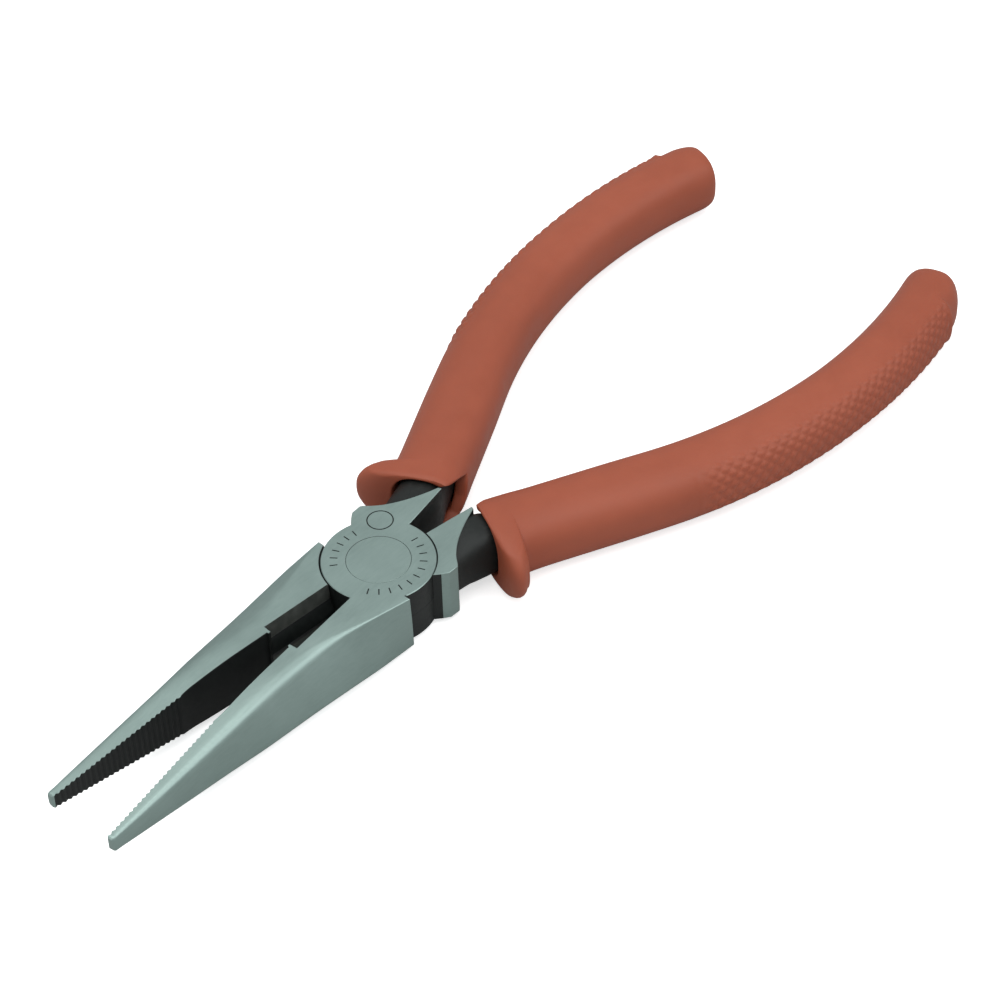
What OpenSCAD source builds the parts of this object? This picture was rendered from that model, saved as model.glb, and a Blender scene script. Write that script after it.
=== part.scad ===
// Needle nose pliers with side cutters: two identical forged halves in a lap
// joint, one flush rivet and two moulded sleeves with finger guards.
// The second half is the first one turned over about the X axis.
// Origin: rivet axis, on the bottom face of the joint. +X to the jaw tips.

/* [Joint] */
// Thickness of the joint, jaw roots and tangs
joint_t = 9; // [8.6:0.1:9.4]
// Radius of the round lap on each half
lap_r = 8.2; // [8:0.1:8.4]
// Gap between the two lap faces
lap_gap = 0.04; // [0.02:0.01:0.08]
// Gap between a round lap and the other half's hollow
arc_gap = 0.12; // [0.08:0.01:0.2]
// Radius of the rivet shank
rivet_r = 3; // [2.6:0.1:3.4]
// Radius of the flush rivet heads
head_r = 4.6; // [4.4:0.1:5]
// Thickness of each rivet head
head_t = 1.1; // [0.8:0.1:1.4]
// Running clearance around the rivet, on the radius
run_gap = 0.04; // [0.02:0.01:0.08]
// Angle of each jaw from the closed line, as the tool lies
rest_open = 5; // [4:0.1:6.5]

/* [Jaws] */
// Reach of the jaw tips from the rivet axis
jaw_l = 58.2; // [57:0.2:60]
// Half thickness of the jaw at its tip
tip_h = 1.15; // [1:0.05:1.4]
// Where the jaw starts to thin towards the tip
thin_x = 30; // [28:0.5:32]
// Number of gripping teeth
teeth = 21; // [18:1:21]
// Distance from one tooth to the next
tooth_pitch = 1; // [0.9:0.05:1]
// Depth of the teeth
tooth_d = 0.4; // [0.2:0.05:0.5]
// Half gap between the teeth with the jaws closed
tooth_gap = 0.06; // [0.04:0.01:0.1]
// Half gap between the cutting edges with the jaws closed
edge_gap = 0.03; // [0.02:0.01:0.05]

/* [Handles] */
// Angle of each straight handle from the closed line
handle_a = 21; // [20.4:0.1:22]
// Length of the straight part of the handle
handle_l = 26; // [25:0.5:27]
// Radius of the curved part of the handle
bow_r = 87; // [84:1:92]
// Angle that the curved part turns through
bow_a = 42.6; // [41:0.2:43]
// Width of the steel shank inside the sleeve
shank_w = 7.2; // [6.8:0.1:7.6]
// Thickness of the steel shank inside the sleeve
shank_t = 6.8; // [6.4:0.1:7.2]

/* [Grips] */
// Width of the sleeve
grip_w = 11.2; // [10.8:0.1:11.6]
// Thickness of the sleeve
grip_t = 10.4; // [10:0.1:10.8]
// How far the finger guard stands out from the handle's centreline
guard_h = 10.3; // [9.5:0.1:10.5]
// Length of the finger guard along the handle
guard_l = 4.8; // [4.2:0.1:5.2]

/* [Hidden] */
$fn = 96;
eps = 0.01;
ht = joint_t / 2;
// start of the handle's centreline on the closed half
hs = [-16.5, -4.98];
fit = 0.04;

// ---- placing ----
module place_a() translate([0, 0, ht]) rotate([0, 0, rest_open]) children();
module place_b() translate([0, 0, ht]) rotate([180, 0, 0]) rotate([0, 0, rest_open]) children();
// along the handle: x runs back down the handle, y to its outer side
module on_handle() translate([hs[0], hs[1], 0]) rotate([0, 0, 180 + handle_a]) children();

// ---- sections ----
// signed power, for a rounded section
function sp(v, e) = sign(v) * pow(abs(v), e);
// a point and the heading at distance s along the handle
function hp(s) = s <= handle_l ? [s, 0, 0]
    : let (a = (s - handle_l) / bow_r * 180 / PI) [handle_l + bow_r * sin(a), -bow_r * (1 - cos(a)), -a];
// one ring round the handle: wi to the inner side, wo to the outer side, h half thickness,
// b[k] how far point k is moved along the handle
function ring(s, wi, wo, h, n, e, b = []) = [for (k = [0 : n - 1])
    let (t = 360 * k / n, y = sp(cos(t), e) * (cos(t) > 0 ? wo : wi), z = sp(sin(t), e) * h,
         q = hp(s + (len(b) > 0 ? b[k] : 0)))
    [q[0] - y * sin(q[2]), q[1] + y * cos(q[2]), z]];
// a closed skin over a list of rings
module skin(rings) {
    n = len(rings[0]);
    m = len(rings);
    polyhedron(points = [for (r = rings) each r],
        faces = concat([[for (k = [0 : n - 1]) k]], [[for (k = [n - 1 : -1 : 0]) (m - 1) * n + k]],
            [for (i = [0 : m - 2]) for (k = [0 : n - 1]) each [
                [i * n + k, (i + 1) * n + k, (i + 1) * n + (k + 1) % n],
                [i * n + k, (i + 1) * n + (k + 1) % n, i * n + (k + 1) % n]]]),
        convexity = 6);
}

// ---- steel half, closed, seen from its own lap's side ----
function tooth_x(i) = jaw_l - 0.6 - i * tooth_pitch;
module jaw_plan() polygon(concat(
    [[0, 7.9], [3.45, 7.44], [3.7, 8.6], [9, 7.65], [15, 6.45], [20, 5.45], [25, 4.65], [30, 3.95],
     [38, 3.05], [48, 1.98], [jaw_l - 1.2, 1.1], [jaw_l - 0.2, 0.85], [jaw_l, 0.55], [jaw_l, 0.2]],
    [[jaw_l - 0.2, tooth_gap]],
    [for (i = [0 : teeth - 1]) each [[tooth_x(i), tooth_gap],
        [tooth_x(i) - tooth_pitch * 0.45, tooth_gap + tooth_d],
        [tooth_x(i) - tooth_pitch * 0.9, tooth_gap]]],
    [[tooth_x(teeth) - 0.2, tooth_gap], [tooth_x(teeth) - 1.6, 0.28], [20.5, 0.28], [20.5, edge_gap], [4, edge_gap], [0, 2]]));
// thins the jaw above and below towards the tip
module jaw_side() rotate([90, 0, 0]) linear_extrude(height = 40, center = true)
    polygon([[-9, -ht], [thin_x, -ht], [jaw_l + 1, -tip_h], [jaw_l + 1, tip_h], [thin_x, ht], [-9, ht]]);
// what is ground away on one side of the cutting edge
module edge_cut() translate([4, 0, 0]) rotate([90, 0, 90]) linear_extrude(height = 16.2)
    polygon([[-3, 0.06], [edge_gap, 0.06], [1.1, 2], [1.45, ht + 1], [-3, ht + 1]]);
module tang_plan() polygon([[-2, -7.9], [-3.5, -7.61], [-5.12, -8.77], [-6.81, -8.62], [-7.3, -8.2], [-7.91, -7.51],
    [-9.59, -6.06], [-11.44, -4.6], [-14, -3.2], [-16.5, -2], [-16.5, -1.41], [-8.41, -0.84], [-2, -2]]);
// neck and shank: distance along the handle, inner and outer half width, half thickness
handle_s = handle_l + bow_r * bow_a * PI / 180;
neck = concat([[-8.5, 1.2, 5.6, 4.3], [-6.5, 1.9, 5.2, 4.25], [-4.5, 2.6, 4.6, 4.15], [-2.5, 3.2, 4.1, 4],
    [-0.5, shank_w / 2 + 0.1, shank_w / 2 + 0.2, shank_t / 2 + 0.3], [2.5, shank_w / 2, shank_w / 2, shank_t / 2]],
    [for (i = [0 : 8]) [handle_l + (handle_s - handle_l - 7) * i / 8, shank_w / 2, shank_w / 2, shank_t / 2]]);
module half(bore_r, rec_r, rec_t) difference() {
    union() {
        // round lap, upper layer only
        translate([0, 0, lap_gap / 2]) cylinder(r = lap_r, h = ht - lap_gap / 2);
        difference() {
            intersection() {
                linear_extrude(height = joint_t, center = true) jaw_plan();
                jaw_side();
            }
            edge_cut();
            mirror([0, 0, 1]) edge_cut();
        }
        linear_extrude(height = joint_t, center = true) tang_plan();
        // forged neck and the shank that the sleeve covers
        on_handle() skin([for (v = neck) ring(v[0], v[1], v[2], v[3], 20, 0.8)]);
    }
    // hollow for the other half's round lap
    translate([0, 0, -joint_t]) cylinder(r = lap_r + arc_gap, h = joint_t + lap_gap / 2);
    // rivet hole and its countersink
    cylinder(r = bore_r, h = joint_t * 2, center = true);
    translate([0, 0, ht - rec_t]) cylinder(r = rec_r, h = joint_t);
}
module half_a() color([0.52, 0.60, 0.58]) place_a() half(rivet_r + run_gap, head_r + run_gap, head_t + run_gap);
module half_b() color([0.50, 0.58, 0.56]) place_b() half(rivet_r, head_r, head_t);

// ---- rivet ----
module pivot_rivet() color([0.60, 0.67, 0.65]) {
    cylinder(r = rivet_r, h = joint_t);
    cylinder(r = head_r, h = head_t);
    translate([0, 0, joint_t - head_t]) cylinder(r = head_r, h = head_t);
}

// ---- sleeve ----
// points round each ring of the sleeve
gn = 32;
// how far the mouth is cut back at point k: only round the inner side
function cut(k) = let (c = -cos(360 * k / gn)) c > 0.45 ? 4.6 * min(1, (c - 0.45) / 0.35) : 0;
// sleeve half width, from the mouth to the end
function gw(s) = grip_w / 2 - 0.7 * min(1, max(0, (s - 20) / 40));
// outer side with the finger guard, a half round rim guard_l long
function gout(s) = let (u = (s - guard_l / 2 + 0.5) / (guard_l / 2))
    gw(s) + (abs(u) < 1 ? (guard_h - gw(s) - 1.6) * pow(1 - u * u, 0.4) + 1.6 * sqrt(1 - u * u) : 0);
outer = concat(
    [for (s = [-0.5, -0.3, 0.1, 0.7, 1.5, 2.4, 3.2, 3.8, 4.15, 4.3]) [s, gw(s), max(gw(s), gout(s)), grip_t / 2 - (s < 0 ? 0.2 : 0)]],
    [for (i = [1 : 6]) let (s = 4.3 + (handle_l - 4.3) * i / 6) [s, gw(s), gw(s), grip_t / 2]],
    [for (i = [1 : 13]) let (s = handle_l + (handle_s - handle_l - 4.4) * i / 13) [s, gw(s), gw(s), grip_t / 2]],
    [for (t = [30, 55, 75, 88]) let (f = 0.45 + 0.55 * cos(t), s = handle_s - 4.4 + 4.4 * sin(t)) [s, gw(s) * f, gw(s) * f, grip_t / 2 * f]]);
// cavity, from its blind end to the mouth, a tight fit on the shank
cavity = concat(
    [for (i = [8 : -1 : 0]) [handle_l + (handle_s - handle_l - 6.9) * i / 8, shank_w / 2 - fit, shank_w / 2 - fit, shank_t / 2 - fit]],
    [[5.5, shank_w / 2 - fit, shank_w / 2 - fit, shank_t / 2 - fit], [3.2, 4.1, 4.1, 4.1], [-0.3, 4.4, 4.5, 4.4]]);
module sleeve() skin([
    for (v = [for (i = [len(outer) - 1 : -1 : 0]) outer[i]]) ring(v[0], v[1], v[2], v[3], gn, 0.8,
        [for (k = [0 : gn - 1]) v[0] < 5 ? cut(k) * (5 - v[0]) / 5.5 : 0]),
    for (v = [for (i = [len(cavity) - 1 : -1 : 0]) cavity[i]]) ring(v[0], v[1], v[2], v[3], gn, 0.8,
        [for (k = [0 : gn - 1]) v[0] < 5 ? cut(k) * (5 - v[0]) / 5.5 : 0])]);
module grip_a() color([0.69, 0.38, 0.32]) place_a() on_handle() sleeve();
module grip_b() color([0.66, 0.36, 0.29]) place_b() on_handle() sleeve();

half_a();
half_b();
pivot_rivet();
grip_a();
grip_b();
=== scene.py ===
import math

import bmesh
import bpy
import numpy as np
from mathutils import Matrix, Vector


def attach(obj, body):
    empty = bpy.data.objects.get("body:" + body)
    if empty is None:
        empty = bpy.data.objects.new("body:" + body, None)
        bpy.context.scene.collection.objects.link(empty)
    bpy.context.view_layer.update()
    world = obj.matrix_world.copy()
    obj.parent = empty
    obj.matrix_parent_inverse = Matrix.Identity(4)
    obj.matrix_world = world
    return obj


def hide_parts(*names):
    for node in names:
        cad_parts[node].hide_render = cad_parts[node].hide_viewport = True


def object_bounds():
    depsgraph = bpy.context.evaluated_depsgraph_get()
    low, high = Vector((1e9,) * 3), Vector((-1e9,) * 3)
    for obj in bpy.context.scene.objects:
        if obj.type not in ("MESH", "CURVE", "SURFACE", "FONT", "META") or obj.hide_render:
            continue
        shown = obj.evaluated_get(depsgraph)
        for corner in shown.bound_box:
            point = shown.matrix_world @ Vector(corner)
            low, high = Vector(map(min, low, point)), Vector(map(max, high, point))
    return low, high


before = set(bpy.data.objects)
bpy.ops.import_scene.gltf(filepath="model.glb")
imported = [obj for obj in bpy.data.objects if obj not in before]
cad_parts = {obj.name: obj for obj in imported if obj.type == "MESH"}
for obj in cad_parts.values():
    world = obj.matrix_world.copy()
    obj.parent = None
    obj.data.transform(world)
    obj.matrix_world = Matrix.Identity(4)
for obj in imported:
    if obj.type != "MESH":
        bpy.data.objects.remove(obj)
CAD_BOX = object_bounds()
SCN = bpy.context.scene
MM = 0.001

# ------------------------------------------------------------------ camera
cam_data = bpy.data.cameras.new("cam")
cam = bpy.data.objects.new("cam", cam_data)
SCN.collection.objects.link(cam)
SCN.camera = cam
right = Vector((-0.65992, 0.75104, -0.02139))
up = Vector((-0.5325, -0.44743, 0.71851))
fwd = Vector((-0.53005, -0.48555, -0.69519))
pos = Vector((217.528, 222.676, 315.975 + 4.5)) * MM
cam.matrix_world = Matrix((
    (right.x, up.x, -fwd.x, pos.x),
    (right.y, up.y, -fwd.y, pos.y),
    (right.z, up.z, -fwd.z, pos.z),
    (0, 0, 0, 1)))
cam_data.sensor_width = 36
cam_data.lens = 113.02
cam_data.clip_start = 0.01
cam_data.clip_end = 20

# ------------------------------------------------------------------ sizes, millimetres
HT = 4.5                 # half thickness of the joint
LAP_R = 8.2
ARC = LAP_R + 0.12
OPEN = math.radians(5.0)
HS = (-16.5, -4.98)      # start of the handle's centreline, closed
HA = math.radians(21.0)
HL = 26.0
BR = 87.0
BA = 42.6
HEND = HL + BR * math.radians(BA)


def lerp(x, pts):
    """Piecewise linear value of a table of (x, value)."""
    return float(np.interp(x, [p[0] for p in pts], [p[1] for p in pts]))


def smooth(x, pts):
    """Table value with rounded corners (a small box filter of the linear one)."""
    return sum(lerp(x + d, pts) for d in (-1.6, -0.8, 0, 0.8, 1.6)) / 5


# ------------------------------------------------------------------ mesh helpers
def obj_from(name, verts, faces, mats=None, idx=None):
    me = bpy.data.meshes.new(name)
    me.from_pydata([tuple(v) for v in verts], [], [tuple(f) for f in faces])
    me.validate()
    me.update()
    ob = bpy.data.objects.new(name, me)
    SCN.collection.objects.link(ob)
    for m in mats or []:
        me.materials.append(m)
    if idx is not None:
        me.polygons.foreach_set("material_index", np.array(idx, np.int32))
    return ob


def normals_out(ob):
    bm = bmesh.new()
    bm.from_mesh(ob.data)
    bmesh.ops.recalc_face_normals(bm, faces=bm.faces)
    bm.to_mesh(ob.data)
    bm.free()


def loft(name, rings, mats, mat_of, cap0=True, cap1=True):
    """Skin over rings of equal length; mat_of(i, k) gives the material of the face from ring i, point k."""
    n, m = len(rings[0]), len(rings)
    verts = [p for r in rings for p in r]
    faces, idx = [], []
    for i in range(m - 1):
        for k in range(n):
            k2 = (k + 1) % n
            faces.append((i * n + k, i * n + k2, (i + 1) * n + k2, (i + 1) * n + k))
            idx.append(mat_of(i, k))
    if cap0:
        faces.append(tuple(range(n - 1, -1, -1)))
        idx.append(mat_of(-1, 0))
    if cap1:
        faces.append(tuple((m - 1) * n + k for k in range(n)))
        idx.append(mat_of(m, 0))
    ob = obj_from(name, verts, faces, mats, idx)
    normals_out(ob)
    return ob


def prism(name, pts, z0, z1, mats, side, top=0, bottom=0, chamfer=0.0):
    """Extruded outline; side[k] is the material of the wall from point k to k + 1. chamfer bevels top and bottom edges."""
    n = len(pts)
    area = sum(pts[i][0] * pts[(i + 1) % n][1] - pts[(i + 1) % n][0] * pts[i][1] for i in range(n))
    if area < 0:
        pts = pts[::-1]
        side = side[:-1][::-1] + side[-1:]
    if chamfer:
        inner = []
        for i in range(n):
            a, b, c = (np.array(pts[(i + d) % n], float) for d in (-1, 0, 1))
            u, v = (b - a) / np.linalg.norm(b - a), (c - b) / np.linalg.norm(c - b)
            nu, nv = np.array([-u[1], u[0]]), np.array([-v[1], v[0]])
            w = nu + nv
            w /= max(1e-6, np.linalg.norm(w))
            inner.append(b + w * chamfer / max(0.5, float(w @ nu)))
        rings = [[(p[0], p[1], z0) for p in inner], [(p[0], p[1], z0 + chamfer) for p in pts],
                 [(p[0], p[1], z1 - chamfer) for p in pts], [(p[0], p[1], z1) for p in inner]]
    else:
        rings = [[(p[0], p[1], z0) for p in pts], [(p[0], p[1], z1) for p in pts]]
    last = len(rings)

    def mat_of(i, k):
        if i == -1:
            return bottom
        if i == last:
            return top
        if chamfer and i == 0:
            return bottom
        if chamfer and i == 2:
            return top
        return side[k % len(side)]
    return loft(name, rings, mats, mat_of)


def lathe(name, prof, mats, idx, n=128, centre=(0, 0)):
    """Closed turned solid; prof is (r, z) from the axis up the outside back to the axis."""
    rings = [[(centre[0] + r * math.cos(2 * math.pi * k / n), centre[1] + r * math.sin(2 * math.pi * k / n), z)
              for k in range(n)] for r, z in prof]
    verts = [p for r in rings for p in r]
    faces, fi = [], []
    for i in range(len(prof) - 1):
        for k in range(n):
            k2 = (k + 1) % n
            faces.append((i * n + k, i * n + k2, (i + 1) * n + k2, (i + 1) * n + k))
            fi.append(idx[i])
    faces.append(tuple(range(n - 1, -1, -1)))
    fi.append(idx[0])
    faces.append(tuple((len(prof) - 1) * n + k for k in range(n)))
    fi.append(idx[-1])
    ob = obj_from(name, verts, faces, mats, fi)
    normals_out(ob)
    return ob


def volume(me):
    bm = bmesh.new()
    bm.from_mesh(me)
    v = abs(bm.calc_volume(signed=True))
    bm.free()
    return v


def boolean(a, b, op, keep=False, tidy=True):
    """Exact boolean. The result's volume is checked, and the other setting is tried if it can't be right."""
    va, vb = volume(a.data), volume(b.data)
    for use_self in (tidy, not tidy):
        m = a.modifiers.new("b", "BOOLEAN")
        m.operation = op
        m.object = b
        m.solver = "EXACT"
        m.material_mode = "INDEX"
        m.use_self = use_self
        dg = bpy.context.evaluated_depsgraph_get()
        me = bpy.data.meshes.new_from_object(a.evaluated_get(dg))
        a.modifiers.clear()
        v = volume(me)
        if op == "UNION":
            good = max(va, vb) - 1 < v < va + vb + 1
        else:
            good = max(va - vb, va * 0.3) - 1 < v < va + 0.5
        if good:
            old = a.data
            a.data = me
            bpy.data.meshes.remove(old)
            break
        bpy.data.meshes.remove(me)
    else:
        raise RuntimeError("boolean %s of %s and %s gives no plausible solid" % (op, a.name, b.name))
    if not keep:
        bpy.data.objects.remove(b)
    return a


def shade(ob, angle=35):
    """Smooth shading with hard edges kept where faces meet at more than angle."""
    me = ob.data
    bm = bmesh.new()
    bm.from_mesh(me)
    bmesh.ops.remove_doubles(bm, verts=bm.verts, dist=2e-5)
    # what an exact boolean can leave: wires and loose points, and a flat face dropped from a flat side
    bmesh.ops.delete(bm, geom=[e for e in bm.edges if not e.link_faces], context="EDGES")
    bmesh.ops.delete(bm, geom=[v for v in bm.verts if not v.link_faces], context="VERTS")
    rim = [e for e in bm.edges if len(e.link_faces) == 1]
    if rim:
        bmesh.ops.holes_fill(bm, edges=rim, sides=8)
        bmesh.ops.recalc_face_normals(bm, faces=bm.faces)
    for f in bm.faces:
        f.smooth = True
    for e in bm.edges:
        e.smooth = not (len(e.link_faces) != 2 or e.calc_face_angle(0) > math.radians(angle)
                        or e.link_faces[0].material_index != e.link_faces[1].material_index)
    bm.to_mesh(me)
    bm.free()
    me.update()


# ------------------------------------------------------------------ materials
def nodes_of(name):
    mat = bpy.data.materials.new(name)
    mat.use_nodes = True
    nt = mat.node_tree
    return mat, nt, nt.nodes["Principled BSDF"]


def link(nt, a, b):
    nt.links.new(a, b)


def noise(nt, scale, detail=4, rough=0.55, vec=None, dist=0.0):
    n = nt.nodes.new("ShaderNodeTexNoise")
    n.inputs["Scale"].default_value = scale
    n.inputs["Detail"].default_value = detail
    n.inputs["Roughness"].default_value = rough
    n.inputs["Distortion"].default_value = dist
    if vec is not None:
        link(nt, vec, n.inputs["Vector"])
    return n


def ramp(nt, fac, stops):
    r = nt.nodes.new("ShaderNodeValToRGB")
    r.color_ramp.elements[0].position, r.color_ramp.elements[0].color = stops[0][0], (*stops[0][1], 1)
    r.color_ramp.elements[1].position, r.color_ramp.elements[1].color = stops[-1][0], (*stops[-1][1], 1)
    for p, c in stops[1:-1]:
        e = r.color_ramp.elements.new(p)
        e.color = (*c, 1)
    link(nt, fac, r.inputs[0])
    return r


def mapping(nt, scale, rot=(0, 0, 0)):
    tc = nt.nodes.new("ShaderNodeTexCoord")
    mp = nt.nodes.new("ShaderNodeMapping")
    mp.inputs["Scale"].default_value = scale
    mp.inputs["Rotation"].default_value = rot
    link(nt, tc.outputs["Object"], mp.inputs["Vector"])
    return mp.outputs["Vector"]


def maprange(nt, val, a, b, c, d):
    m = nt.nodes.new("ShaderNodeMapRange")
    for k, v in zip(("From Min", "From Max", "To Min", "To Max"), (a, b, c, d)):
        m.inputs[k].default_value = v
    link(nt, val, m.inputs["Value"])
    return m.outputs[0]


def bump(nt, height, strength, distance, bsdf, normal=None):
    b = nt.nodes.new("ShaderNodeBump")
    b.inputs["Strength"].default_value = strength
    b.inputs["Distance"].default_value = distance
    link(nt, height, b.inputs["Height"])
    if normal is not None:
        link(nt, normal, b.inputs["Normal"])
    link(nt, b.outputs[0], bsdf.inputs["Normal"])
    return b.outputs[0]


def mat_steel():
    """Satin ground tool steel: fine grinding lines along the jaws, soft mottling."""
    mat, nt, p = nodes_of("ground_steel")
    p.inputs["Metallic"].default_value = 1.0
    lines = noise(nt, 2600, 3, 0.6, mapping(nt, (0.22, 1.0, 1.0), (0, 0, 0.25)))
    grain = noise(nt, 5200, 2, 0.5, mapping(nt, (0.5, 1.0, 1.0), (0, 0, -0.3)))
    cloud = noise(nt, 120, 4, 0.55, mapping(nt, (1, 1, 1)))
    mix = nt.nodes.new("ShaderNodeMix")
    mix.inputs[0].default_value = 0.6
    link(nt, lines.outputs[0], mix.inputs[2])
    link(nt, cloud.outputs[0], mix.inputs[3])
    col = ramp(nt, mix.outputs[0], [(0.32, (0.290, 0.384, 0.360)), (0.5, (0.322, 0.424, 0.398)), (0.7, (0.356, 0.462, 0.436))])
    link(nt, col.outputs[0], p.inputs["Base Color"])
    link(nt, maprange(nt, mix.outputs[0], 0.3, 0.7, 0.40, 0.48), p.inputs["Roughness"])
    b1 = nt.nodes.new("ShaderNodeBump")
    b1.inputs["Strength"].default_value = 0.09
    b1.inputs["Distance"].default_value = 0.00002
    link(nt, lines.outputs[0], b1.inputs["Height"])
    bump(nt, grain.outputs[0], 0.09, 0.00001, p, b1.outputs[0])
    return mat


def mat_black():
    """Black oxide on forged steel: near black, slightly blue, fine scale grain and a soft sheen."""
    mat, nt, p = nodes_of("black_oxide")
    p.inputs["Metallic"].default_value = 0.35
    g = noise(nt, 1500, 5, 0.65, mapping(nt, (1, 1, 1)))
    c = noise(nt, 160, 4, 0.6, mapping(nt, (1, 1, 1)))
    mix = nt.nodes.new("ShaderNodeMix")
    mix.inputs[0].default_value = 0.5
    link(nt, g.outputs[0], mix.inputs[2])
    link(nt, c.outputs[0], mix.inputs[3])
    col = ramp(nt, mix.outputs[0], [(0.3, (0.007, 0.0095, 0.0093)), (0.52, (0.0125, 0.0158, 0.0150)), (0.74, (0.024, 0.0285, 0.0265))])
    link(nt, col.outputs[0], p.inputs["Base Color"])
    link(nt, maprange(nt, g.outputs[0], 0.3, 0.7, 0.38, 0.56), p.inputs["Roughness"])
    bump(nt, g.outputs[0], 0.22, 0.00006, p)
    return mat


def mat_facet():
    """Ground facets of the cutter, half blackened: dark warm grey with grinding lines."""
    mat, nt, p = nodes_of("blackened_facet")
    p.inputs["Metallic"].default_value = 0.8
    g = noise(nt, 2600, 3, 0.6, mapping(nt, (0.4, 1, 0.3)))
    col = ramp(nt, g.outputs[0], [(0.3, (0.15, 0.165, 0.152)), (0.7, (0.20, 0.215, 0.198))])
    link(nt, col.outputs[0], p.inputs["Base Color"])
    link(nt, maprange(nt, g.outputs[0], 0.3, 0.7, 0.4, 0.55), p.inputs["Roughness"])
    bump(nt, g.outputs[0], 0.15, 0.00004, p)
    return mat


def mat_grip():
    """Soft PVC, orange red, satin, with faint mottling, fine moulded grain and handling wear."""
    mat, nt, p = nodes_of("pvc_orange")
    big = noise(nt, 28, 3, 0.5, mapping(nt, (1, 1, 1)))
    mid = noise(nt, 240, 4, 0.6, mapping(nt, (1, 1, 1)))
    mix = nt.nodes.new("ShaderNodeMix")
    mix.inputs[0].default_value = 0.35
    link(nt, big.outputs[0], mix.inputs[2])
    link(nt, mid.outputs[0], mix.inputs[3])
    col = ramp(nt, mix.outputs[0], [(0.32, (0.318, 0.074, 0.036)), (0.5, (0.352, 0.084, 0.042)), (0.68, (0.386, 0.096, 0.050))])
    link(nt, col.outputs[0], p.inputs["Base Color"])
    fine = noise(nt, 3200, 3, 0.6, mapping(nt, (1, 1, 1)))
    link(nt, maprange(nt, mid.outputs[0], 0.3, 0.7, 0.42, 0.58), p.inputs["Roughness"])
    p.inputs["IOR"].default_value = 1.5
    p.inputs["Specular IOR Level"].default_value = 0.38
    p.inputs["Subsurface Weight"].default_value = 0.06
    p.inputs["Subsurface Radius"].default_value = (0.0016, 0.0005, 0.0002)
    p.inputs["Subsurface Scale"].default_value = 1.0
    b1 = nt.nodes.new("ShaderNodeBump")
    b1.inputs["Strength"].default_value = 0.10
    b1.inputs["Distance"].default_value = 0.00012
    link(nt, mid.outputs[0], b1.inputs["Height"])
    bump(nt, fine.outputs[0], 0.12, 0.00003, p, b1.outputs[0])
    return mat


STEEL, BLACK, FACET, GRIP = mat_steel(), mat_black(), mat_facet(), mat_grip()
HALF_MATS = [STEEL, BLACK, FACET]

# ------------------------------------------------------------------ jaw
JAW_L = 58.2
H_TAB = [(0, 4.5), (26.5, 4.5), (30, 4.34), (33.4, 4.04), (38.8, 3.42), (44.4, 2.76), (49.9, 2.1), (58.2, 1.12)]
OUT_TAB = [(2, 8.9), (3.7, 8.55), (5, 8.42), (9, 7.75), (13, 7.08), (17, 6.38), (21, 5.62), (25, 4.9), (29, 4.28), (33, 3.75),
           (36.5, 3.3), (41, 2.86), (45, 2.48), (50, 1.98), (54, 1.58), (56.5, 1.32), (58.2, 1.1)]
RIDGE_TAB = [(2, 8.8), (3.7, 8.3), (8, 6.95), (11.6, 5.75), (15, 4.65), (18, 3.95), (21.5, 3.6), (25.8, 3.42), (30, 3.4), (34, 3.25),
             (38, 2.98), (45, 2.4), (50, 1.93), (54, 1.54), (58.2, 1.05)]
FACET_TAB = [(2, 0.0), (6, 0.12), (10, 0.5), (15, 0.9), (20, 1.0), (25, 0.85), (31, 0.5), (38, 0.3), (58.2, 0.1)]
R1_TAB = [(0, 0.16), (9, 0.22), (14, 0.55), (19, 1.1), (26, 1.5), (34, 1.5), (42, 1.35), (50, 1.05), (58.2, 0.6)]


def soft_corner(a, b, c, r, n):
    """n + 1 points of a round corner at b, between the legs to a and c."""
    a, b, c = (np.array(p, float) for p in (a, b, c))
    la, lc = np.linalg.norm(a - b), np.linalg.norm(c - b)
    p, q = b + (a - b) / la * min(r, la * 0.45), b + (c - b) / lc * min(r, lc * 0.45)
    return [tuple((1 - t) ** 2 * p + 2 * t * (1 - t) * b + t * t * q) for t in np.linspace(0, 1, n + 1)]


def jaw_in(x):
    """Inner face of the closed half, without the teeth: the cutter recess is cut later."""
    return lerp(x, [(2, 0.03), (20.3, 0.03), (20.31, 0.3), (34.5, 0.3), (36.2, 0.1), (58.2, 0.1)])


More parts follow.
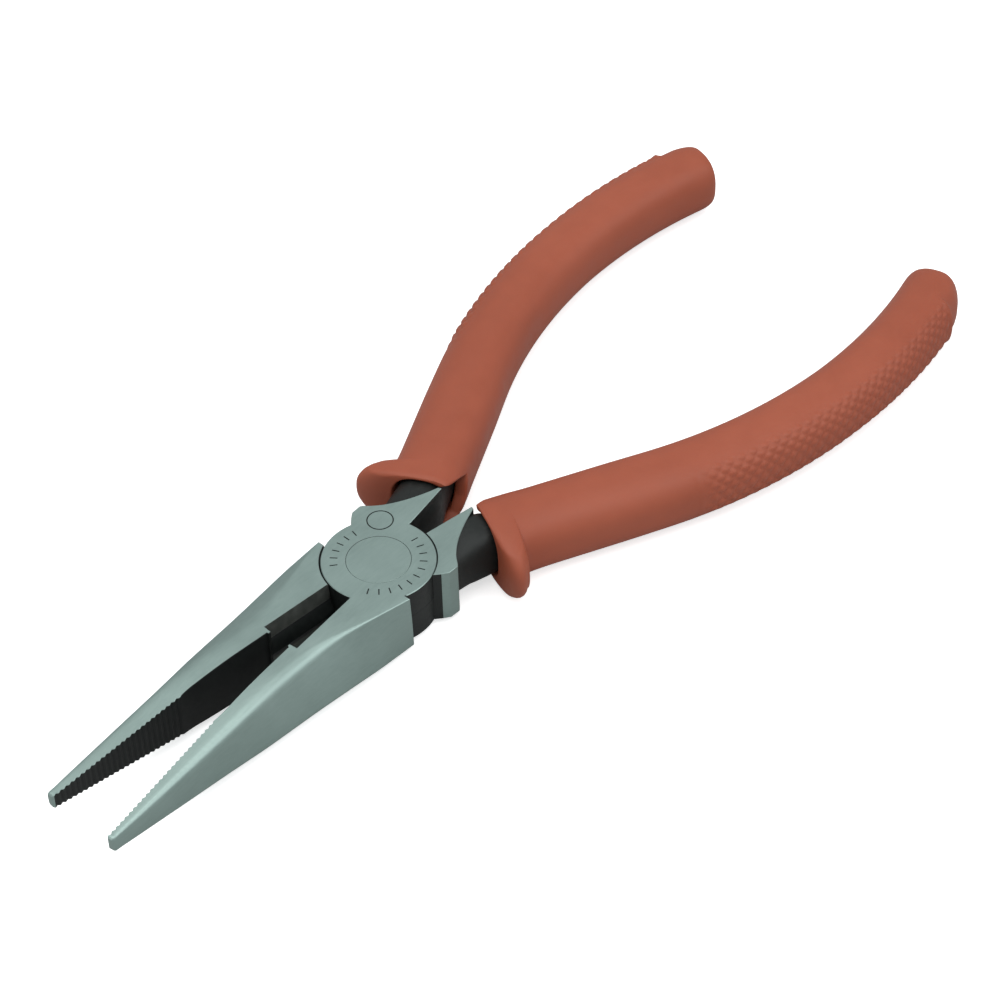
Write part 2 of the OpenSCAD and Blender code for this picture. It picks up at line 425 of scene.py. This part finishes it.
def jaw_ring(x, yin, sc=1.0):
    h = smooth(x, H_TAB) if x > 24 else 4.5
    tab = smooth if x > 6 else lerp
    yt, yo, k = tab(x, RIDGE_TAB), tab(x, OUT_TAB), tab(x, FACET_TAB)
    if x < 3.6:                      # the lap's own wall, before the shoulder steps out
        yt, yo, k = 7.5, 7.5, 0.0
    yt = min(yt, yo)
    d = min(0.85 * k + 0.02, h * 0.6)
    ys = yo + 0.66 * d + 0.25 * min(1, k * 2)
    ym = yt + (ys - yt) * 0.56 + 0.42 * k + 0.03
    yl = min(yt + 0.25, yo)          # bevel's inner limit on the lower side
    r1, r2, c = lerp(x, R1_TAB), 0.15 + 0.5 * k, 0.06
    pts = [(yin, -h + c), (yin, -h / 2), (yin, 0), (yin, h / 2), (yin, h - c), (yin + c, h)]
    top = [(yin + c, h), (yt, h), (ym, 0), (ys, -h + d), (yl, -h), (yin + c, -h)]
    t0 = soft_corner(top[0], top[1], top[2], r1, 7)
    for t in (0.33, 0.66):
        pts.append((yin + c + (t0[0][0] - yin - c) * t, h))
    pts += t0
    pts += soft_corner(top[1], top[2], top[3], 3.2, 6)
    pts += soft_corner(top[2], top[3], top[4], r2, 5)
    t1 = soft_corner(top[3], top[4], top[5], r1, 6)
    pts += t1
    for t in (0.33, 0.66):
        pts.append((t1[-1][0] + (yin + c - t1[-1][0]) * t, -h))
    pts.append((yin + c, -h))
    if sc != 1.0:
        cy = (yt + yin) / 2
        pts = [(cy + (y - cy) * sc, z * sc) for y, z in pts]
    return [(x, y, z) for y, z in pts]


def build_jaw():
    xs = [0.6, 3.58, 3.64, 4.5, 5.5, 6.5, 8, 9.5, 11, 12.5, 14, 15.5, 17, 18, 19, 20.28]
    st = [(x, jaw_in(x), 1.0) for x in xs]
    st += [(x, jaw_in(x), 1.0) for x in (20.32, 21, 22, 23, 24, 25, 26, 27, 28, 29, 30, 31, 32, 33, 34, 35, 35.8)]
    x, pitch, depth = 36.1, 0.87, 0.2
    while x < 57.1:
        st += [(x, 0.1, 1.0), (x + 0.14, 0.1, 1.0), (x + 0.42, 0.1 + depth, 1.0), (x + 0.52, 0.1 + depth, 1.0)]
        x += pitch
    st += [(x, 0.1, 1.0), (57.72, 0.12, 1.0), (57.95, 0.14, 0.95), (58.12, 0.2, 0.86), (58.2, 0.26, 0.7)]
    st = [s for i, s in enumerate(st) if i == 0 or s[0] > st[i - 1][0] + 1e-6]
    rings = [jaw_ring(*s) for s in st]
    n = len(rings[0])

    def mat_of(i, k):
        if i == -1:
            return 1
        if i == len(rings):
            return 0
        xm = st[i][0]
        if xm < 3.6 and k > 7 and k < n - 3:
            return 1
        if k < 4:
            return 1 if xm < 57.6 else 0
        if k == 4 or k == n - 1:
            return 0 if xm > 35 else 1
        return 0
    return loft("jaw", rings, HALF_MATS, mat_of)


# ------------------------------------------------------------------ handle's line
def hp(s):
    """Point and heading at distance s along the handle, in the closed half's frame."""
    if s <= HL:
        x, y, a = s, 0.0, 0.0
    else:
        t = (s - HL) / BR
        x, y, a = HL + BR * math.sin(t), -BR * (1 - math.cos(t)), -t
    th = math.pi + HA
    c, sn = math.cos(th), math.sin(th)
    return HS[0] + c * x - sn * y, HS[1] + sn * x + c * y, th + a


def on_handle(s, y, z):
    px, py, a = hp(s)
    return (px - y * math.sin(a), py + y * math.cos(a), z)


def sring(s, wi, wo, h, n, e, off=None):
    out = []
    for k in range(n):
        t = 2 * math.pi * k / n
        c, sn = math.cos(t), math.sin(t)
        y = math.copysign(abs(c) ** e, c) * (wo if c > 0 else wi)
        z = math.copysign(abs(sn) ** e, sn) * h
        out.append(on_handle(s + (off[k] if off else 0), y, z))
    return out


def build_neck():
    tab = [(-8.6, 1.1, 6.0, 4.5, 0.8), (-7.6, 1.5, 5.85, 4.5, 0.78), (-6.6, 2.0, 5.45, 4.47, 0.76), (-5.6, 2.4, 5.0, 4.44, 0.74), (-4.6, 2.8, 4.62, 4.41, 0.72),
           (-3.6, 3.15, 4.32, 4.42, 0.66), (-2.6, 3.4, 4.1, 4.42, 0.66), (-1.6, 3.5, 3.96, 4.38, 0.67), (-0.6, 3.5, 3.86, 4.26, 0.7),
           (0.6, 3.42, 3.76, 4.02, 0.77), (2.5, 3.48, 3.62, 3.72, 0.82), (5, 3.55, 3.58, 3.45, 0.86)]
    rings = [sring(q, wi, wo, h, 64, e) for q, wi, wo, h, e in tab]
    s = 8.0
    while s < HEND - 8:
        rings.append(sring(s, 3.58, 3.58, 3.38, 64, 0.86))
        s += 4
    return loft("neck", rings, HALF_MATS, lambda i, k: 1)


# ------------------------------------------------------------------ tang
def build_tang():
    # outline, closed frame; the outer edge is hollow where the ground flat meets the forged neck
    p = [(-2.2, -6.6), (-3.3, -7.55), (-4.3, -8.3), (-5.3, -8.9), (-6.95, -8.82)]
    a, b = np.array((-7.3, -8.5)), np.array((-16.45, -1.95))
    m = np.array((-9.55, -4.75))     # pull of the hollow
    curve = [tuple((1 - t) ** 2 * a + 2 * t * (1 - t) * m + t * t * b) for t in np.linspace(0, 1, 22)]
    q = [(-16.55, -1.45), (-12.5, -1.14), (-8.4, -0.84), (-2.2, -2.4)]
    pts = p + curve + q
    side = [1, 1, 0, 0, 0] + [1] * 21 + [1, 1, 1, 1, 1]
    side[1] = 1
    return prism("tang", pts, -HT, HT, HALF_MATS, side, 0, 0, 0.07)


MARKS = [(d + 0.37, 5.8, 6.9) for d in list(range(24, 178, 14)) + list(range(250, 318, 13))]


def build_half(bore, rec, rect):
    jaw = build_jaw()
    # cutter: the edge lies on the closing line at mid height, bevelled to both faces
    for sg in (1, -1):
        prof = [(-3, 0.05), (0.03, 0.05), (1.08, 2.0), (1.5, 5.2), (-3, 5.2)]
        ring = lambda x: [(x, y, sg * z) for y, z in prof]
        cut = loft("cut", [ring(3.0), ring(19.9)], HALF_MATS,
                   lambda i, k: 1 if i in (-1, 2) else (2 if k == 2 else 1))
        boolean(jaw, cut, "DIFFERENCE")
    tang = build_tang()
    neck = build_neck()
    disc = lathe("disc", [(0.001, 0.02), (LAP_R, 0.02), (LAP_R, HT - 0.1), (LAP_R - 0.1, HT), (0.001, HT)],
                 HALF_MATS, [1, 1, 0, 0], 160)
    # the other half's lap turns in this hollow: clear it in the lower layer
    near = lathe("near", [(0.001, -7), (LAP_R + 0.16, -7), (LAP_R + 0.16, -HT), (LAP_R + 0.05, -HT + 0.14), (LAP_R + 0.05, 0.02), (0.001, 0.02)],
                 HALF_MATS, [1, 0, 1, 1, 1], 160)
    hollow = lathe("hollow", [(0.001, -7), (ARC + 0.12, -7), (ARC + 0.12, -HT), (ARC, -HT + 0.12), (ARC, 0.02), (0.001, 0.02)],
                   HALF_MATS, [1, 0, 1, 1, 1], 160)
    boolean(tang, neck, "UNION")
    boolean(tang, near, "DIFFERENCE")
    boolean(jaw, hollow, "DIFFERENCE")
    boolean(jaw, tang, "UNION")
    boolean(jaw, disc, "UNION")
    # rivet hole with its countersink, the ring that shows round the flush head
    hole = lathe("hole", [(0.001, -7), (bore, -7), (bore, HT - rect), (rec, HT - rect), (rec, HT - 0.025), (rec + 0.025, HT), (rec + 0.025, 7), (0.001, 7)],
                 HALF_MATS, [1, 1, 1, 1, 1, 1, 1], 128)
    boolean(jaw, hole, "DIFFERENCE")
    # plain engraved strokes round the lap, and a plain ring on the tang: generic marks, nothing to read
    cv, cf = [], []
    for deg, l0, l1 in MARKS:
        c, sn = math.cos(math.radians(deg)), math.sin(math.radians(deg))
        q = len(cv)
        for z in (HT - 0.1, HT + 1):
            for r, t in ((l0, -0.09), (l1, -0.09), (l1, 0.09), (l0, 0.09)):
                cv.append((r * c - t * sn, r * sn + t * c, z))
        cf += [(q + 3, q + 2, q + 1, q), (q + 4, q + 5, q + 6, q + 7)]
        cf += [(q + k, q + (k + 1) % 4, q + 4 + (k + 1) % 4, q + 4 + k) for k in range(4)]
    strokes = obj_from("strokes", cv, cf, HALF_MATS, [1] * len(cf))
    normals_out(strokes)
    boolean(jaw, strokes, "DIFFERENCE", tidy=False)
    cv, cf, q, n = [], [], 0, 64
    for z in (HT - 0.1, HT + 1):
        for r in (1.78, 1.96):
            cv += [(-6.36 + r * math.cos(2 * math.pi * k / n), -4.68 + r * math.sin(2 * math.pi * k / n), z) for k in range(n)]
    for k in range(n):
        k2 = (k + 1) % n
        cf += [(q + k, q + k2, q + n + k2, q + n + k), (q + 2 * n + k, q + 3 * n + k, q + 3 * n + k2, q + 2 * n + k2),
               (q + k, q + 2 * n + k, q + 2 * n + k2, q + k2), (q + n + k, q + n + k2, q + 3 * n + k2, q + 3 * n + k)]
    strokes = obj_from("strokes", cv, cf, HALF_MATS, [1] * len(cf))
    normals_out(strokes)
    boolean(jaw, strokes, "DIFFERENCE", tidy=False)
    shade(jaw, 32)
    return jaw


def place(ob, which):
    """Closed half's millimetres to the row frame at rest."""
    rot = Matrix.Rotation(OPEN, 4, "Z")
    flip = Matrix.Rotation(math.pi, 4, "X") if which == "b" else Matrix.Identity(4)
    m = Matrix.Scale(MM, 4) @ Matrix.Translation((0, 0, HT)) @ flip @ rot
    ob.data.transform(m)
    ob.data.update()


half_a = build_half(3.04, 4.625, 1.14)
half_a.name = half_a.data.name = "steel_half_a"
place(half_a, "a")
half_b = build_half(3.0, 4.61, 1.1)
half_b.name = half_b.data.name = "steel_half_b"
place(half_b, "b")

# ------------------------------------------------------------------ rivet
rivet = lathe("rivet_flush", [(0.001, 0), (4.57, 0), (4.6, 0.03), (4.6, 1.1), (3.0, 1.1), (3.0, 7.9), (4.6, 7.9), (4.6, 8.97), (4.57, 9), (0.001, 9)],
              [STEEL, BLACK], [0, 0, 1, 1, 1, 1, 1, 0, 0], 128)
shade(rivet, 32)
rivet.data.transform(Matrix.Scale(MM, 4))


# ------------------------------------------------------------------ sleeves
GN = 144
GW0, GT = 5.6, 5.2
TIP = HEND - 0.8
CAP = TIP - 3.6


def gw(s):
    return GW0 - 0.7 * min(1, max(0, (s - 20) / 40))


def step(x, a, b):
    t = min(1, max(0, (x - a) / (b - a)))
    return t * t * (3 - 2 * t)


def grip_ring(s, up, offs=None, u=0.0, shrink=1.0):
    """One ring of the sleeve; up is +1 or -1, the local side that lies uppermost; u runs 0 to 1 over the end cap."""
    out = []
    wo = gw(s) * (1 - 0.46 * u ** 1.35) * shrink
    wi = gw(s) * (1 - 0.30 * u ** 3) * shrink
    h0 = GT * (1 - 0.28 * u ** 3) * shrink
    wo -= 0.3 * step(s, 83.5, 84.2)
    e = 0.8 - 0.05 * step(8 - s, 0, 5)
    g = (s - 1.32) / 1.86
    lobe = max(0.0, 1 - g * g) ** 0.5
    tail = 0.5 * math.exp(-max(0.0, s - 3.0) / 0.8)
    for k in range(GN):
        t = 2 * math.pi * k / GN
        c, sn = math.cos(t), math.sin(t)
        y = math.copysign(abs(c) ** e, c) * (wo if c > 0 else wi)
        z = math.copysign(abs(sn) ** e, sn) * h0
        ds = 0.0
        if c > 0 and s < 9:
            f = lobe * min(1, c * 1.6)
            y2, z2 = 4.7 + 5.65 * c, 5.1 * sn
            if y2 > y:
                ds = -0.09 * (y2 - y) * f
                y, z = y + (y2 - y) * f, z + (z2 - z) * f * 0.6
            if s > 2.6:
                y += tail * c * c
        if u == 0 and s > 29:
            ang = math.degrees(math.atan2(sn, c)) * up
            if ang > 180:
                ang -= 360
            m = step(ang, -38, -22) * (1 - step(ang, 50, 64))
            if m > 0:
                arc = math.radians(ang) * 5.3
                a, b = s / 2.0 + arc / 1.9, s / 2.0 - arc / 1.9
                fa, fb = abs(a - math.floor(a) - 0.5) * 2, abs(b - math.floor(b) - 0.5) * 2
                dmd = min(1 - fa, 1 - fb)
                hgt = 0.25 * min(1, dmd * 1.9) * m * step(s, 31, 33.5) * (1 - step(s, 82.2, 83))
                hgt += 0.10 * math.exp(-((s - 30.6 - 0.35 * math.cos(math.radians(ang * 2))) / 0.3) ** 2) * m
                hgt += 0.42 * math.exp(-((s - 83.2) / 0.42) ** 2) * m
                ln = math.hypot(c / wo, sn / h0)
                y += hgt * (c / wo) / ln
                z += hgt * (sn / h0) / ln
        z = max(-GT, min(GT, z))
        out.append(on_handle(s + ds + (offs[k] if offs else 0), y, z))
    return out


def mouth_cut(k, up):
    """How far the mouth's edge is cut back at point k: a notch in the inner wall."""
    t = 2 * math.pi * k / GN
    c, sn = math.cos(t), math.sin(t)
    if c > -0.1:
        return 0.0
    z = math.copysign(abs(sn) ** 0.72, sn) * GT
    return lerp(z, [(-4.6, 0), (-3.4, 2.4), (-1.0, 3.8), (1.0, 4.4), (2.4, 5.1), (3.3, 3.1), (4.2, 0.5), (4.5, 0)])


def build_grip(up):
    def offs(s):
        f = max(0, (7.2 - s) / 7.6)
        return [mouth_cut(k, up) * f for k in range(GN)]
    rings = []
    # the closed end first, then forward to the mouth, then into the cavity
    for sh in (0.35, 0.6, 0.8, 0.93):
        rings.append(grip_ring(TIP - 0.02 - 0.35 * sh ** 4, up, None, 1.0, sh))
    for u in (0.93, 0.86, 0.78, 0.68, 0.56, 0.42, 0.28, 0.14):
        rings.append(grip_ring(CAP + 3.6 * math.sin(u * math.pi / 2) ** 1.0 - 0.35 * u ** 6, up, None, u))
    s = CAP
    while s > 29:
        rings.append(grip_ring(s, up))
        s -= 0.33
    while s > 8:
        rings.append(grip_ring(s, up))
        s -= 1.2
    for s in (7.3, 6.6, 6.0, 5.4, 4.9, 4.5, 4.1, 3.8, 3.5, 3.3, 3.18, 3.16, 3.12, 3.05, 2.95, 2.8, 2.55, 2.2, 1.8, 1.3, 0.9, 0.5, 0.2, -0.05, -0.25, -0.38, -0.46):
        rings.append(grip_ring(s, up, offs(s), 0.0, 1.0 if s > 0.1 else 1 - (0.1 - s) * 0.06))
    for s, wi, wo, h in ((-0.56, 4.85, 4.95, 4.8), (-0.56, 4.4, 4.75, 4.7), (-0.5, 3.95, 4.62, 4.6), (-0.3, 3.72, 4.5, 4.5), (0.2, 3.64, 4.32, 4.38), (1.4, 3.6, 4.15, 4.2),
                         (3.0, 3.6, 3.95, 3.95), (4.5, 3.6, 3.75, 3.75), (6.5, 3.6, 3.62, 3.6), (8.5, 3.6, 3.6, 3.5), (10.5, 3.6, 3.6, 3.4)):
        f = max(0, (7.2 - s) / 7.6)
        rings.append(sring(s, wi, wo, h, GN, 0.76, [mouth_cut(k, up) * f for k in range(GN)]))
    ob = loft("grip", rings, [GRIP], lambda i, k: 0)
    shade(ob, 50)
    return ob


grips = {}
for w in "ab":
    g = build_grip(1 if w == "a" else -1)
    g.name = g.data.name = "sleeve_" + w
    place(g, w)
    grips[w] = g

# ------------------------------------------------------------------ riding and standing in
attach(half_a, "moving_half")
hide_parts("half_a")
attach(half_b, "fixed_half")
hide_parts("half_b")
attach(rivet, "fixed_half")
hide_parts("pivot_rivet")
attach(grips["a"], "moving_half")
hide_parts("grip_a")
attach(grips["b"], "fixed_half")
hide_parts("grip_b")

# ------------------------------------------------------------------ stage and light
fm = bpy.data.materials.new("floor")
fm.use_nodes = True
ft = fm.node_tree
ft.nodes.remove(ft.nodes["Principled BSDF"])
seen, unseen = ft.nodes.new("ShaderNodeBsdfDiffuse"), ft.nodes.new("ShaderNodeBsdfDiffuse")
seen.inputs["Color"].default_value = (0.9, 0.9, 0.9, 1)
unseen.inputs["Color"].default_value = (0.5, 0.5, 0.5, 1)
glow = ft.nodes.new("ShaderNodeEmission")
glow.inputs["Strength"].default_value = 0.62
add = ft.nodes.new("ShaderNodeAddShader")
mixs = ft.nodes.new("ShaderNodeMixShader")
path = ft.nodes.new("ShaderNodeLightPath")
link(ft, seen.outputs[0], add.inputs[0])
link(ft, glow.outputs[0], add.inputs[1])
link(ft, path.outputs["Is Camera Ray"], mixs.inputs[0])
link(ft, unseen.outputs[0], mixs.inputs[1])
link(ft, add.outputs[0], mixs.inputs[2])
clear = ft.nodes.new("ShaderNodeBsdfTransparent")
under = ft.nodes.new("ShaderNodeMixShader")
geo = ft.nodes.new("ShaderNodeNewGeometry")
link(ft, geo.outputs["Backfacing"], under.inputs[0])
link(ft, mixs.outputs[0], under.inputs[1])
link(ft, clear.outputs[0], under.inputs[2])
link(ft, under.outputs[0], ft.nodes["Material Output"].inputs["Surface"])
floor = obj_from("floor", [(-3, -3, 0), (3, -3, 0), (3, 3, 0), (-3, 3, 0)], [(0, 1, 2, 3)], [fm])
floor.location.z = CAD_BOX[0].z - 0.0003

world = bpy.data.worlds.new("w")
SCN.world = world
world.use_nodes = True
bg = world.node_tree.nodes["Background"]
bg.inputs["Color"].default_value = (0.97, 0.985, 1.0, 1)
bg.inputs["Strength"].default_value = 0.52


def area(name, loc, target, size, power, color=(1, 1, 1), shape="RECTANGLE", size_y=None):
    d = bpy.data.lights.new(name, "AREA")
    d.shape = shape
    d.size = size
    d.size_y = size_y or size
    d.energy = power
    d.color = color
    o = bpy.data.objects.new(name, d)
    SCN.collection.objects.link(o)
    o.location = loc
    o.rotation_mode = "QUATERNION"
    o.rotation_quaternion = (Vector(target) - Vector(loc)).to_track_quat("-Z", "Y")
    return o


area("key", (0.15, -0.05, 0.95), (-0.02, 0, 0), 1.1, 6.0, (1, 0.995, 0.98))
area("side", (-0.35, 0.75, 0.7), (-0.02, 0, 0), 0.8, 3.0, (1, 1, 1))

SCN.view_settings.view_transform = "Standard"
SCN.view_settings.look = "None"
SCN.view_settings.exposure = 0.0
SCN.view_settings.gamma = 1.0
